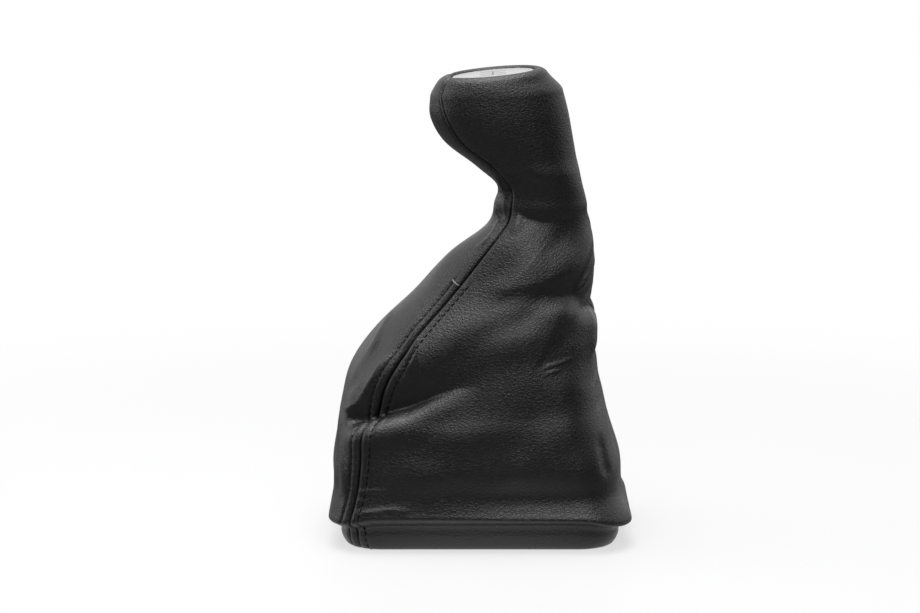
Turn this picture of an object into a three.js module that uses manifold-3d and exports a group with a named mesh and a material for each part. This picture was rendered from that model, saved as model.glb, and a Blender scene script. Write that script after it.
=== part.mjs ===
// A leather gear lever gaiter, sewn in one with the cover of its knob.
// Millimetres, +Z up. The front, which the knob's nose points to, is -X and the left side is -Y.
// The origin is the middle of the foot, on the surface that the gaiter stands on.
import * as THREE from "three";
import Module from "manifold-3d";
import { mergeVertices } from "three/addons/utils/BufferGeometryUtils.js";

const wasm = await Module();
wasm.setup();

// Leather and fits
const leather = 1.4;
const clearance = 0.3;
const seamGap = 0.4;
const seamOpening = 0.3;
const seamDip = 0.9;
const seamRound = 1.5;
const allowanceWidth = 7.2;
const allowanceStep = 0.5;
const stitchOffset = 5.2;
const stitchDip = 0.45;
const stitchWidth = 1.1;
const seamPuff = 0.35;
const puffWidth = 1.6;

// Foot: a leather-covered frame with a rounded rectangular outline
const footLength = 137.6;
const footWidth = 103;
const footCorner = 21;
const bandHeight = 12;
const bandTaper = 2;
const bandSag = 2.8;
const footStrip = 49.8;
const hemHeight = 5.8;
const hemRadius = 2.6;
const frameWall = 2.8;
const cornerEase = 3.4;
const frameHeight = 8.4;
const frameBevel = 0.9;
const flangeReach = 7;
const flangeThickness = 1.9;
const latchLength = 15;
const latchThickness = 1.8;
const latchBarb = 1.5;
const latchBarbHeight = 1.6;
const latchFoot = 0.8;
const latchSpacing = 58;

// Rise of the front from the band to the neck, and from the neck to the crown
const gaiterRise = 153.9;
const knobRise = 53.2;

// Knob: seat of the plate in the crown, and the lever's socket
const plateLength = 40.4;
const plateWidth = 27;
const plateThickness = 1.2;
const plateBevel = 0.4;
const plateRecess = 0.9;
const carrierThickness = 2.4;
const carrierBorder = 1.2;
const carrierPegRadius = 3;
const carrierPegLength = 5;
const lipRadius = 2.4;
const lipGrip = 0.5;
const socketTilt = 11;
const boreRadius = 6.1;
const bushWall = 2.4;
const bushLength = 34;
const bushFlangeWidth = 2.4;
const bushFlangeThickness = 2;
const bushSeatDepth = 3;
const socketLead = 12;

// Outer face of the leather as sections, from the top of the band to the crown. Each section spans
// from a front point to a back point. Rises are measured from the section below it, so the stack
// stays in order when one of them changes. corner and roundness run from the foot's rounded
// rectangle (0) to an oval (1), and strip is half the front panel's width, along the leather.
const overhang = 5.9;
const sections = [
  { name: "bulge", frontX: -footLength / 2 - overhang, backX: footLength / 2 + overhang,
    frontRise: 5.4, backRise: 4.4, halfWidth: footWidth / 2 + overhang, corner: 23, roundness: 0.02,
    strip: 57, sag: 4, steps: 3 },
  { name: "wall", frontX: -73.8, backX: 70.8, frontRise: 19, backRise: 20.4,
    halfWidth: 55.4, corner: 24, roundness: 0.1, strip: 56.6, sag: 1.2, steps: 3 },
  { name: "ledge", frontX: -71.4, backX: 65, frontRise: 19, backRise: 20,
    halfWidth: 52.6, corner: 25, roundness: 0.2, strip: 52, sag: 0, steps: 2 },
  { name: "tuck", frontX: -70, backX: 61.6, frontRise: 10, backRise: 13,
    halfWidth: 48.6, corner: 25, roundness: 0.3, strip: 49, sag: 0, steps: 2 },
  { name: "slope_low", frontX: -64.6, backX: 58.2, frontRise: 19, backRise: 16,
    halfWidth: 44, corner: 24, roundness: 0.44, strip: 48, sag: 0, steps: 2 },
  { name: "slope_middle", frontX: -50.8, backX: 57.2, frontRise: 19.5, backRise: 20,
    halfWidth: 38, corner: 23, roundness: 0.6, strip: 42, sag: 0, steps: 3 },
  { name: "slope_high", frontX: -31.8, backX: 57, frontRise: 19, backRise: 17,
    halfWidth: 32.4, corner: 22, roundness: 0.74, strip: 34.5, sag: 0, steps: 2 },
  { name: "shoulder", frontX: -15.6, backX: 56.8, frontRise: 18, backRise: 20,
    halfWidth: 27, corner: 20, roundness: 0.86, strip: 30.5, sag: 0, steps: 2 },
  { name: "under_neck", frontX: 3, backX: 55, frontRise: 14, backRise: 14,
    halfWidth: 22.8, corner: 17, roundness: 0.94, strip: 20.8, sag: 0, steps: 2 },
  { name: "neck", frontX: 7.4, backX: 53, frontRise: 11, backRise: 10,
    halfWidth: 19.8, corner: 15, roundness: 1, strip: 17.5, sag: 0, steps: 2 },
  { name: "under_nose", frontX: 8.6, backX: 50.2, frontRise: 9.2, backRise: 10,
    halfWidth: 19.8, corner: 16, roundness: 0.96, strip: 15, sag: 0, steps: 2 },
  { name: "jaw", frontX: -2.8, backX: 48, frontRise: 9.8, backRise: 11.5,
    halfWidth: 21.4, corner: 18, roundness: 0.9, strip: 18.8, sag: 0, steps: 2 },
  { name: "nose", frontX: -17.6, backX: 46, frontRise: 11.4, backRise: 11.5,
    halfWidth: 22.6, corner: 19, roundness: 0.86, strip: 19.2, sag: 0, steps: 2 },
  { name: "nose_tip", frontX: -24.6, backX: 43.8, frontRise: 12.2, backRise: 12,
    halfWidth: 22.8, corner: 19, roundness: 0.86, strip: 17.8, sag: 0, steps: 2 },
  { name: "crown", frontX: -24.6, backX: 41, frontRise: 10.6, backRise: 10.8,
    halfWidth: 21.8, corner: 17, roundness: 0.92, strip: 14.6, sag: 0, steps: 2 },
];
const crownRiseFront = 9.6;
const crownRiseBack = 10.4;
const crownInsetFront = 7.8;
const crownInsetBack = 11.6;
const crownLean = 4;
const lipStrip = 8;
const coreFrom = "neck";
const leanFrom = "under_nose";

// Folds in the loose leather. u runs from the front middle (0) to the back middle (1) on the named
// side, and from and to are [u, section name, share of the way to the next section].
const folds = [
  { side: "left", from: [0.2, "ledge", 0.5], to: [0.56, "tuck", 0.45], depth: 5, width: 5.5, ledge: 2.4 },
  { side: "left", from: [0, "tuck", 0.3], to: [0.2, "ledge", 0.5], depth: 2.2, width: 5.5, ledge: 1.2 },
  { side: "left", from: [0.3, "neck", -0.1], to: [0.66, "under_neck", -0.1],
    depth: 2.4, width: 5, ledge: 1.2 },
  { side: "left", from: [0.98, "slope_high", 0.7], to: [0.66, "slope_high", -0.5],
    depth: 2.2, width: 6, ledge: 1 },
  { side: "left", from: [1, "slope_middle", 0], to: [0.7, "slope_low", 0], depth: 2.4, width: 6.5, ledge: 1 },
  { side: "right", from: [0.22, "ledge", 0.6], to: [0.54, "tuck", 0.3], depth: 4.4, width: 6, ledge: 2.2 },
  { side: "right", from: [0, "tuck", 0.3], to: [0.22, "ledge", 0.6], depth: 2.2, width: 5.5, ledge: 1.2 },
  { side: "right", from: [0.24, "neck", -0.2], to: [0.6, "under_neck", 0.1], depth: 2.4, width: 5, ledge: 1 },
  { side: "right", from: [1, "slope_high", 0.3], to: [0.62, "slope_middle", 0.4],
    depth: 2.4, width: 6.5, ledge: 1 },
];
const foldEnd = { from: 0.3, over: 0.22 };
const ledgeBelow = 1.7;

const sectionAt = (name) => sections.findIndex((s) => s.name === name);
const bump = (x) => Math.exp(-(x * x));

// Catmull-Rom blend of one value of the sections, at a whole or part section number
function blended(list, key, at) {
  const last = list.length - 1;
  const i = Math.min(Math.max(Math.floor(at), 0), last - 1);
  const value = (k) => list[Math.min(Math.max(k, 0), last)][key];
  const t = at - i;
  const [a, b, c, d] = [value(i - 1), value(i), value(i + 1), value(i + 2)];
  const slopeIn = (c - a) / 2;
  const slopeOut = (d - b) / 2;
  return (2 * t ** 3 - 3 * t ** 2 + 1) * b + (t ** 3 - 2 * t ** 2 + t) * slopeIn
    + (3 * t ** 2 - 2 * t ** 3) * c + (t ** 3 - t ** 2) * slopeOut;
}

// Sections with their heights summed from the rises, which are drawn to the two named heights
const isKnob = (i) => i > sectionAt(coreFrom);
const sumRises = (knob) => sections.reduce((sum, s, i) => (isKnob(i) === knob ? sum + s.frontRise : sum), 0);
const gaiterScale = gaiterRise / sumRises(false);
const knobScale = knobRise / sumRises(true);
const stacked = [];
let frontZ = bandHeight;
let backZ = bandHeight;
sections.forEach((s, i) => {
  const scale = isKnob(i) ? knobScale : gaiterScale;
  frontZ += s.frontRise * scale;
  backZ += s.backRise * scale;
  stacked.push({ ...s, frontZ, backZ });
});

// A row is one closed ring of the leather's outer face: its front and back points, half width,
// outline and half strip. sag lowers its two ends, lean tips it to the left, and at is its section
// number, which is below zero on the foot.
const plainRow = { sag: 0, lean: 0, doubled: false };

function footRow(inset, z, sag, at = -2) {
  return {
    ...plainRow, frontX: -footLength / 2 + inset, backX: footLength / 2 - inset, frontZ: z, backZ: z,
    halfWidth: footWidth / 2 - inset, corner: footCorner - inset, roundness: 0,
    strip: footStrip - 0.9 * inset, sag, at,
  };
}

const blendedKeys = ["frontX", "backX", "frontZ", "backZ", "halfWidth", "corner", "roundness", "strip",
  "sag"];
const levelUpTo = sectionAt(leanFrom);
function sectionRow(at) {
  const row = { ...plainRow, at, doubled: at > 0.5 };
  for (const key of blendedKeys) row[key] = blended(stacked, key, at);
  const share = THREE.MathUtils.clamp((at - levelUpTo) / (sections.length - levelUpTo), 0, 1);
  row.lean = Math.tan(THREE.MathUtils.degToRad(crownLean)) * share;
  return row;
}

// The crown's frame: middle of the lip's top, direction to the front, to the left and normal
const crown = stacked[stacked.length - 1];
const lipFront = new THREE.Vector3(crown.frontX + crownInsetFront, 0, crown.frontZ + crownRiseFront);
const lipBack = new THREE.Vector3(crown.backX - crownInsetBack, 0, crown.backZ + crownRiseBack);
const lipMiddle = lipFront.clone().add(lipBack).multiplyScalar(0.5);
const toFront = lipFront.clone().sub(lipBack).normalize();
const level = new THREE.Vector3().crossVectors(toFront, new THREE.Vector3(0, -1, 0)).normalize();
const lean = THREE.MathUtils.degToRad(-crownLean);
const toLeft = new THREE.Vector3(0, -1, 0).applyAxisAngle(toFront, lean);
const crownNormal = level.clone().applyAxisAngle(toFront, lean);
const crownTurn = new THREE.Matrix4().makeBasis(toFront, toLeft, crownNormal).setPosition(lipMiddle);

// A ring round the plate's well, grow outside the well's face, sink below the lip's top and moved forward
function wellRow(grow, sink, forward = 0) {
  const halfLength = plateLength / 2 + clearance + grow;
  const middle = lipMiddle.clone().addScaledVector(crownNormal, -sink).addScaledVector(toFront, forward);
  return {
    ...plainRow, middle, halfLength, halfWidth: plateWidth / 2 + clearance + grow,
    corner: plateWidth / 2, roundness: 1, strip: lipStrip, at: sections.length,
  };
}

// All rows of the skin, from the hem's inner end, under the foot and up to the end tucked in the well
const hemInset = bandTaper + 2 * leather + 2 * clearance + frameWall;
const wellDepth = plateRecess + plateThickness + clearance + carrierThickness;
const rows = [
  footRow(hemInset, hemHeight, 0),
  footRow(hemInset, hemRadius, 0),
  footRow(hemInset - 0.3 * hemRadius, 0.3 * hemRadius, 0),
  footRow(hemInset - hemRadius, 0, 0),
  footRow(bandTaper + hemRadius, 0, 0),
  footRow(bandTaper + 0.3 * hemRadius, 0.3 * hemRadius, 0),
  footRow(0.75 * bandTaper, hemRadius, 0),
  footRow(0.1 * bandTaper, 0.62 * bandHeight, 0.5 * bandSag),
  footRow(0, 0.93 * bandHeight, 0.9 * bandSag),
  footRow(-0.35, bandHeight + 0.5, 1.05 * bandSag, -1.5),
  footRow(-0.62 * overhang, bandHeight + 2.9, 1.25 * bandSag, -1),
];
for (let i = 0; i < sections.length; i += 1) {
  const steps = i < sections.length - 1 ? sections[i].steps : 1;
  for (let k = 0; k < steps; k += 1) rows.push(sectionRow(i + k / steps));
}
rows.push(wellRow(3.4 * lipRadius, 1.9 * lipRadius, 0.5 * lipRadius));
rows.push(wellRow(2.2 * lipRadius, 0.55 * lipRadius, 0.25 * lipRadius));
rows.push(wellRow(lipRadius, 0));
rows.push(wellRow(0.3 * lipRadius, 0.3 * lipRadius));
rows.push(wellRow(0, lipRadius));
rows.push(wellRow(0, wellDepth - lipGrip));

// Half of a ring, from the front middle to the back middle, as two curves that are blended
function halfRing(row) {
  const length = row.halfLength ?? Math.hypot(row.frontX - row.backX, row.frontZ - row.backZ) / 2;
  const width = row.halfWidth;
  const r = Math.min(row.corner, width - 0.5, length - 0.5);
  const squared = new THREE.CurvePath();
  const corner = (x, from) => new THREE.EllipseCurve(x, width - r, r, r, from, from + Math.PI / 2);
  squared.add(new THREE.LineCurve(new THREE.Vector2(length, 0), new THREE.Vector2(length, width - r)));
  squared.add(corner(length - r, 0));
  const sideStart = new THREE.Vector2(length - r, width);
  const sideEnd = new THREE.Vector2(r - length, width);
  squared.add(new THREE.LineCurve(sideStart, sideEnd));
  squared.add(corner(r - length, Math.PI / 2));
  squared.add(new THREE.LineCurve(new THREE.Vector2(-length, width - r), new THREE.Vector2(-length, 0)));
  const oval = new THREE.EllipseCurve(0, 0, length, width, 0, Math.PI);
  const perimeter = THREE.MathUtils.lerp(squared.getLength(), oval.getLength(), row.roundness);
  return { squared, oval, perimeter, length };
}
for (const row of rows) row.half = halfRing(row);

// A point of a row's ring, at a signed distance along the leather from the front middle. Distances
// on the left side are above zero.
function ringPoint(row, distance) {
  const { squared, oval, perimeter, length } = row.half;
  const share = THREE.MathUtils.clamp(Math.abs(distance) / perimeter, 0, 1);
  const p = squared.getPointAt(share).lerp(oval.getPointAt(share), row.roundness);
  const y = -Math.sign(distance) * p.y;
  if (row.middle) {
    return new THREE.Vector3(p.x, -y, 0).applyMatrix4(crownTurn).add(row.middle).sub(lipMiddle);
  }
  const along = (1 + p.x / length) / 2;
  const ends = THREE.MathUtils.smoothstep(Math.abs(2 * along - 1), 0.66, 0.97);
  const z = THREE.MathUtils.lerp(row.backZ, row.frontZ, along) - row.sag * ends + row.lean * y;
  return new THREE.Vector3(THREE.MathUtils.lerp(row.backX, row.frontX, along), y, z);
}

// How far the folds push the leather, for a point at a distance along a row
const foldTop = sectionAt("neck") + 0.5;
function foldHeight(row, distance) {
  if (row.at < 0 || row.at > foldTop) return 0;
  const height = (at) => (blended(stacked, "frontZ", at) + blended(stacked, "backZ", at)) / 2;
  const fadeIn = THREE.MathUtils.smoothstep(row.at, 0, 1);
  const fadeOut = THREE.MathUtils.smoothstep(foldTop - row.at, 0, 0.6);
  let sum = 0;
  for (const f of folds) {
    const onSide = distance * (f.side === "left" ? 1 : -1);
    const along = onSide < -0.5 * row.half.perimeter ? onSide + 2 * row.half.perimeter : onSide;
    const ends = [f.from, f.to].map(([u, name, part]) => [
      u * row.half.perimeter, height(sectionAt(name) + part)]);
    const [dx, dz] = [ends[1][0] - ends[0][0], ends[1][1] - ends[0][1]];
    const long = Math.hypot(dx, dz);
    const [px, pz] = [along - ends[0][0], height(row.at) - ends[0][1]];
    const t = (px * dx + pz * dz) / long ** 2;
    const across = (pz * dx - px * dz) * Math.sign(dx) / long;
    const fade = bump(Math.max(0, Math.abs(t - 0.5) - foldEnd.from) / foldEnd.over);
    sum += fade * (f.ledge * bump(across / f.width + ledgeBelow) - f.depth * bump(across / f.width));
  }
  return sum * fadeIn * fadeOut;
}

// Dip of the leather at a seam, and at a topstitched line beside it
function seamHeight(fromSeam, topstitched) {
  const edge = -seamDip * bump(fromSeam / seamRound);
  if (!topstitched) return edge;
  const line = -stitchDip * bump((fromSeam - stitchOffset) / stitchWidth);
  return edge + line + seamPuff * bump((fromSeam - stitchOffset / 2) / puffWidth);
}

// Step along the leather that a direction is measured over
const probe = 0.8;

// Points and normals are found from the rows above and below at the same share of the way round
function acrossRows(pointOf, i, distance) {
  const share = distance / rows[i].half.perimeter;
  const [over, below] = [Math.min(i + 1, rows.length - 1), Math.max(i - 1, 0)];
  const above = pointOf(over, share * rows[over].half.perimeter);
  const up = above.sub(pointOf(below, share * rows[below].half.perimeter));
  const beside = pointOf(i, distance + probe).sub(pointOf(i, distance - probe));
  return new THREE.Vector3().crossVectors(beside, up).normalize();
}

const plainPoint = (i, distance) => ringPoint(rows[i], distance);

function foldedPoint(i, distance) {
  const height = foldHeight(rows[i], distance);
  const point = plainPoint(i, distance);
  return height ? point.addScaledVector(acrossRows(plainPoint, i, distance), height) : point;
}

const foldedNormal = (i, distance) => acrossRows(foldedPoint, i, distance);

// Columns of a panel on a row: the signed distance of each, its distance from the nearest seam,
// whether an allowance doubles the leather there, and which way the leather goes from that seam
const frontShares = [0.25, 0.5, 0.75];
const sideShares = [0.12, 0.25, 0.38, 0.51, 0.62, 0.68, 0.74, 0.8, 0.86, 0.93];
const allowanceEnd = allowanceWidth + allowanceStep;
const seamColumns = [0, seamRound, stitchOffset, allowanceWidth, allowanceEnd];
const doubledColumns = seamColumns.length - 1;
const backColumns = [allowanceEnd, allowanceWidth, seamRound, 0];
const narrowest = 3;

function frontColumns(row) {
  const half = row.strip - seamGap / 2;
  const shrink = Math.min(1, half / (allowanceWidth + narrowest));
  const edge = seamColumns.map((d) => d * shrink);
  const reached = edge[edge.length - 1];
  for (const share of frontShares) edge.push(reached + (half - reached) * share);
  const columns = edge.map((d, k) => (
    { distance: half - d, seam: d, doubled: k < doubledColumns, front: true, away: -1 }));
  const far = columns.map((c) => ({ ...c, distance: -c.distance, away: 1 }));
  return [...far, { distance: 0, seam: half, doubled: false, front: true, away: 0 }, ...columns.reverse()];
}

function sideColumns(row, side) {
  const start = row.strip + seamGap / 2;
  const end = row.half.perimeter - seamGap / 2;
  const columns = seamColumns.map((d, k) => (
    { distance: start + d, seam: d, doubled: k < doubledColumns, front: true, away: 1 }));
  for (const share of sideShares) {
    const distance = THREE.MathUtils.lerp(start + allowanceEnd, end - allowanceEnd, share);
    columns.push({ distance, seam: distance - start, doubled: false, front: true, away: 0 });
  }
  for (const d of backColumns) {
    columns.push({ distance: end - d, seam: d, doubled: d <= allowanceWidth, front: false, away: -1 });
  }
  if (side === "left") return columns;
  return columns.reverse().map((c) => ({ ...c, distance: -c.distance, away: -c.away }));
}

// Grids of a panel's outer face, its inner face and the surface a clearance below that
const stitchEnd = sectionAt("slope_high") + 0.3;
const hemRows = 6;
const tuckedRows = 3;

function panelGrid(columnsOf) {
  const grids = { outer: [], inner: [], under: [] };
  rows.forEach((row, i) => {
    const line = { outer: [], inner: [], under: [] };
    for (const c of columnsOf(row)) {
      const normal = foldedNormal(i, c.distance);
      const hidden = i < hemRows || i >= rows.length - tuckedRows;
      const dip = hidden ? 0 : seamHeight(c.seam, c.front && row.at < stitchEnd);
      const outer = foldedPoint(i, c.distance).addScaledVector(normal, dip);
      const thickness = c.doubled && row.doubled ? 2 * leather : leather;
      const beside = plainPoint(i, c.distance + probe).sub(plainPoint(i, c.distance - probe)).normalize();
      const opened = outer.clone().addScaledVector(beside, c.seam === 0 ? c.away * seamOpening : 0);
      line.outer.push(outer);
      line.inner.push(opened.clone().addScaledVector(normal, -thickness));
      line.under.push(opened.clone().addScaledVector(normal, -thickness - clearance));
    }
    for (const key of Object.keys(line)) grids[key].push(line[key]);
  });
  return grids;
}

// Indexed triangles of a grid of points, with vertices numbered from first
function gridFaces(high, wide, first, flip) {
  const faces = [];
  for (let i = 0; i < high - 1; i += 1) {
    for (let j = 0; j < wide - 1; j += 1) {
      const a = first + i * wide + j;
      const [b, c, d] = [a + 1, a + wide, a + wide + 1];
      faces.push(...(flip ? [a, c, b, b, c, d] : [a, b, c, b, d, c]));
    }
  }
  return faces;
}

function indexed(points, faces) {
  const geometry = new THREE.BufferGeometry();
  geometry.setAttribute("position", new THREE.Float32BufferAttribute(points.flatMap((p) => p.toArray()), 3));
  geometry.setIndex(faces);
  return geometry;
}

// A closed sheet between an outer and an inner grid
function sheetGeometry({ outer, inner }) {
  const [high, wide] = [outer.length, outer[0].length];
  const count = high * wide;
  const faces = [...gridFaces(high, wide, 0, false), ...gridFaces(high, wide, count, true)];
  const rim = [];
  for (let j = 0; j < wide - 1; j += 1) rim.push(j);
  for (let i = 0; i < high - 1; i += 1) rim.push(i * wide + wide - 1);
  for (let j = wide - 1; j > 0; j -= 1) rim.push((high - 1) * wide + j);
  for (let i = high - 1; i > 0; i -= 1) rim.push(i * wide);
  rim.forEach((a, k) => {
    const b = rim[(k + 1) % rim.length];
    faces.push(a, a + count, b, b, a + count, b + count);
  });
  return indexed([...outer.flat(), ...inner.flat()], faces);
}

// A solid through a stack of rings, closed by a fan at each end
function stackGeometry(rings) {
  const [high, wide] = [rings.length, rings[0].length];
  const faces = gridFaces(high, wide, 0, false);
  for (let i = 0; i < high - 1; i += 1) {
    const [b, a] = [i * wide, i * wide + wide - 1];
    faces.push(a, b, a + wide, b, b + wide, a + wide);
  }
  const middle = (ring) => ring.reduce((m, p) => m.add(p), new THREE.Vector3()).multiplyScalar(1 / wide);
  const [low, over] = [high * wide, high * wide + 1];
  for (let j = 0; j < wide; j += 1) {
    const next = (j + 1) % wide;
    faces.push(low, next, j, over, (high - 1) * wide + j, (high - 1) * wide + next);
  }
  return indexed([...rings.flat(), middle(rings[0]), middle(rings[high - 1])], faces);
}

// Solids for cutting and joining
function solid(geometry) {
  const bare = geometry.clone();
  bare.deleteAttribute("normal");
  bare.deleteAttribute("uv");
  const merged = mergeVertices(bare, 1e-4);
  return new wasm.Manifold(new wasm.Mesh({
    numProp: 3,
    vertProperties: new Float32Array(merged.attributes.position.array),
    triVerts: new Uint32Array(merged.index.array),
  }));
}

function geometryOf(manifold) {
  const mesh = manifold.getMesh();
  const geometry = new THREE.BufferGeometry();
  geometry.setAttribute("position", new THREE.BufferAttribute(new Float32Array(mesh.vertProperties), 3));
  geometry.setIndex([...mesh.triVerts]);
  return geometry;
}

const group = new THREE.Group();
function addPiece(name, geometry, color, roughness, metalness = 0) {
  const bare = geometry.index ? geometry.toNonIndexed() : geometry;
  bare.computeVertexNormals();
  const mesh = new THREE.Mesh(bare, new THREE.MeshStandardMaterial({ color, roughness, metalness }));
  mesh.name = name;
  group.add(mesh);
}

// An oval or rounded outline drawn about the origin, for extruding
function ovalShape(halfLength, halfWidth, count = 44) {
  const shape = new THREE.Shape();
  for (let k = 0; k < count; k += 1) {
    const a = (2 * Math.PI * k) / count;
    const [x, y] = [halfLength * Math.cos(a), halfWidth * Math.sin(a)];
    if (k === 0) shape.moveTo(x, y);
    else shape.lineTo(x, y);
  }
  shape.closePath();
  return shape;
}

function footShape(inset, ease = 0, steps = 5) {
  const r = Math.max(footCorner - inset, 1) + ease;
  const [a, b] = [footLength / 2 - inset, footWidth / 2 - inset];
  const shape = new THREE.Shape();
  const corners = [[a - r, b - r, 0], [r - a, b - r, 1], [r - a, r - b, 2], [a - r, r - b, 3]];
  corners.forEach(([x, y, quarter]) => {
    for (let k = 0; k <= steps; k += 1) {
      const angle = (quarter + k / steps) * Math.PI / 2;
      const [px, py] = [x + r * Math.cos(angle), y + r * Math.sin(angle)];
      if (quarter === 0 && k === 0) shape.moveTo(px, py);
      else shape.lineTo(px, py);
    }
  });
  shape.closePath();
  return shape;
}

function extruded(shape, depth, z = 0) {
  const geometry = new THREE.ExtrudeGeometry(shape, { depth, bevelEnabled: false, curveSegments: 12 });
  geometry.translate(0, 0, z);
  return solid(geometry);
}

function boxSolid(lengthX, lengthY, height, x, y, z) {
  const geometry = new THREE.BoxGeometry(lengthX, lengthY, height);
  geometry.translate(x, y, z + height / 2);
  return solid(geometry);
}

function cylinderSolid(radius, height, sides = 32) {
  const geometry = new THREE.CylinderGeometry(radius, radius, height, sides);
  geometry.rotateX(Math.PI / 2);
  geometry.translate(0, 0, height / 2);
  return solid(geometry);
}

// Leather panels: a tapering one down the front, and two sides that meet at the back
const front = panelGrid(frontColumns);
const left = panelGrid((row) => sideColumns(row, "left"));
const right = panelGrid((row) => sideColumns(row, "right"));
const hide = 0x1c1c1c;
addPiece("front_panel", sheetGeometry(front), hide, 0.55);
addPiece("left_side_panel", sheetGeometry(left), hide, 0.55);
addPiece("right_side_panel", sheetGeometry(right), hide, 0.55);

// Knob core: fills the cover from the neck up to the lip, with a well for the plate
const firstCore = rows.findIndex((row) => row.at >= sectionAt(coreFrom));
const lipTop = rows.findIndex((row) => row.at >= sections.length) + 2;
const coreRings = [];
for (let i = firstCore; i <= lipTop; i += 1) {
  coreRings.push([...left.under[i], ...right.under[i], ...front.under[i]]);
}
const wellGrow = leather + 2 * clearance + seamGap;
const floorDepth = wellDepth + clearance;
const well = extruded(
  ovalShape(plateLength / 2 + wellGrow, plateWidth / 2 + wellGrow),
  floorDepth + 2, -floorDepth).transform(crownTurn.toArray());
const pegHole = cylinderSolid(carrierPegRadius + clearance, carrierPegLength + 2 * clearance)
  .translate([0, 0, -floorDepth - carrierPegLength - clearance]).transform(crownTurn.toArray());

// The socket's frame starts in the middle of the core's lower end, and rises along the lever
const neckRow = rows[firstCore];
const socketStart = new THREE.Vector3(
  (neckRow.frontX + neckRow.backX) / 2, 0, (neckRow.frontZ + neckRow.backZ) / 2 - 1);
const socketTurn = new THREE.Matrix4().makeRotationY(-THREE.MathUtils.degToRad(socketTilt))
  .setPosition(socketStart);
const seatDepth = bushFlangeThickness + bushSeatDepth;
const bushRadius = boreRadius + bushWall;
const socket = wasm.Manifold.union([
  cylinderSolid(bushRadius + clearance, bushLength + clearance),
  cylinderSolid(bushRadius + bushFlangeWidth + clearance, seatDepth + socketLead)
    .translate([0, 0, -socketLead]),
]).transform(socketTurn.toArray());
const core = wasm.Manifold.difference([solid(stackGeometry(coreRings)), well, pegHole, socket]);
addPiece("knob_core", geometryOf(core), 0x3a3a3c, 0.7);

// Lever bush: a metal socket with a flange, closed at the top
const seat = seatDepth - bushFlangeThickness - clearance;
const bush = wasm.Manifold.difference([
  wasm.Manifold.union([
    cylinderSolid(bushRadius, bushLength - seat).translate([0, 0, seat]),
    cylinderSolid(bushRadius + bushFlangeWidth, bushFlangeThickness).translate([0, 0, seat]),
  ]),
  cylinderSolid(boreRadius, bushLength - seat - bushWall).translate([0, 0, seat - 0.01]),
]).transform(socketTurn.toArray());
addPiece("lever_bush", geometryOf(bush), 0xb9bcc0, 0.4, 1);

// Plate carrier: sits in the well on a peg, and presses on the leather's end
const pegOverlap = 0.5;
const carrier = wasm.Manifold.union([
  extruded(ovalShape(plateLength / 2 - carrierBorder, plateWidth / 2 - carrierBorder),
    carrierThickness, -wellDepth),
  cylinderSolid(carrierPegRadius, carrierPegLength + pegOverlap)
    .translate([0, 0, -wellDepth - carrierPegLength]),
]).transform(crownTurn.toArray());
addPiece("plaque_carrier", geometryOf(carrier), 0x2b2b2e, 0.6);

// Plate: an oval of metal with a bevelled edge
const plateGeometry = new THREE.ExtrudeGeometry(
  ovalShape(plateLength / 2 - plateBevel, plateWidth / 2 - plateBevel),
  { depth: plateThickness - plateBevel, bevelEnabled: true, bevelThickness: plateBevel,
    bevelSize: plateBevel, bevelSegments: 2 });
plateGeometry.translate(0, 0, -plateRecess - plateThickness);
const plate = solid(plateGeometry).trimByPlane([0, 0, 1], -plateRecess - plateThickness)
  .transform(crownTurn.toArray());
addPiece("plaque", geometryOf(plate), 0xc9cbcf, 0.35, 1);

// Foot frame: a ring inside the leather, with a flange and latches for the console
const outerInset = bandTaper + leather + clearance;
const wallInset = outerInset + frameWall;
const flangeInset = wallInset + flangeReach;
const frameFloor = leather + clearance;
const flangeZ = frameHeight - flangeThickness;
const sliver = 0.1;
const through = frameHeight + 1;
const chamferedFoot = wasm.Manifold.hull([
  extruded(footShape(outerInset + frameBevel, cornerEase), sliver, frameFloor),
  extruded(footShape(outerInset, cornerEase), frameHeight - frameFloor - frameBevel, frameFloor + frameBevel),
]);
const chamferedHole = wasm.Manifold.hull([
  extruded(footShape(wallInset - frameBevel), sliver, frameFloor - sliver),
  extruded(footShape(wallInset), sliver, frameFloor + frameBevel),
]);
const frameParts = [
  chamferedFoot.subtract(extruded(footShape(wallInset), through).add(chamferedHole)),
  extruded(footShape(outerInset, cornerEase), flangeThickness, flangeZ)
    .subtract(extruded(footShape(flangeInset), through)),
];
const latchY = footWidth / 2 - flangeInset + latchThickness / 2;
const latchHeight = flangeZ + flangeThickness / 4 - latchFoot;
for (const sideY of [-1, 1]) {
  const barbY = sideY * (latchY - latchThickness / 2);
  for (const sideX of [-1, 1]) {
    const x = (sideX * latchSpacing) / 2;
    frameParts.push(boxSolid(latchLength, latchThickness, latchHeight, x, sideY * latchY, latchFoot));
    frameParts.push(boxSolid(latchLength, latchBarb, latchBarbHeight, x, barbY, latchFoot));
  }
}
addPiece("base_frame", geometryOf(wasm.Manifold.union(frameParts)), 0x2b2b2e, 0.6);

export default group;
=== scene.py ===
import math

import bmesh
import bpy
import numpy as np
from mathutils import Matrix, Vector


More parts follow.
